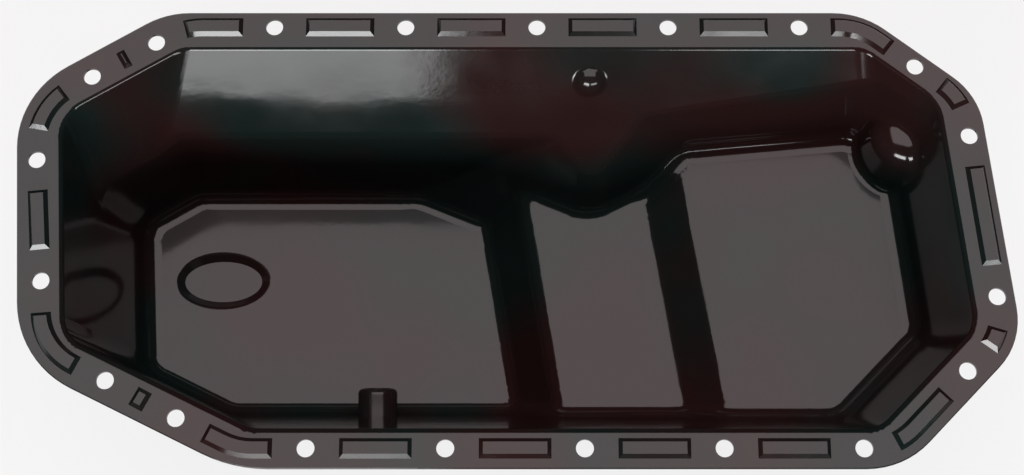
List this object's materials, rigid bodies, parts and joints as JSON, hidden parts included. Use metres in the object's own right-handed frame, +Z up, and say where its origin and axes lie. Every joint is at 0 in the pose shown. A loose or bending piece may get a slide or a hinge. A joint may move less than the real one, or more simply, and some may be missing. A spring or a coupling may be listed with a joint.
{
  "type": "engine oil pan",
  "caption": "Pressed-steel engine sump with a bolted flange, stepped floor and a drain plug in its side.",
  "frame": {"origin": "centre of the two long rows of bolt holes, on the gasket face", "axes": "+X along the pan towards the shallow end, +Y across it, +Z up out of the open side, square to the gasket face"},
  "size_m": [0.4011, 0.19, 0.1061],
  "materials": {
    "black_paint": "gloss black dip paint over pressed steel",
    "boss_paint": "gloss black dip paint over a turned steel bush",
    "plug_steel": "zinc plated and passivated",
    "washer_metal": "plain soft aluminium"
  },
  "bodies": {
    "pan": {"oil_pan": "black_paint", "drain_boss": "boss_paint"},
    "washer": {"sealing_washer": "washer_metal"},
    "plug": {"drain_plug": "plug_steel"}
  },
  "joints": [
    {"name": "plug_travel", "type": "slide", "parent": "pan", "child": "washer", "axis": [0, -0.9701, -0.2425], "range_m": [0, 0.0105]},
    {"name": "plug_turn", "type": "hinge", "parent": "washer", "child": "plug", "pos_m": [-0.0773, -0.06005, -0.08], "axis": [0, -0.9701, -0.2425], "range_deg": [0, 2520]}
  ],
  "couplings": [
    {"joint": "plug_turn", "follows": "plug_travel", "rad_per_m": 4188.8}
  ]
}
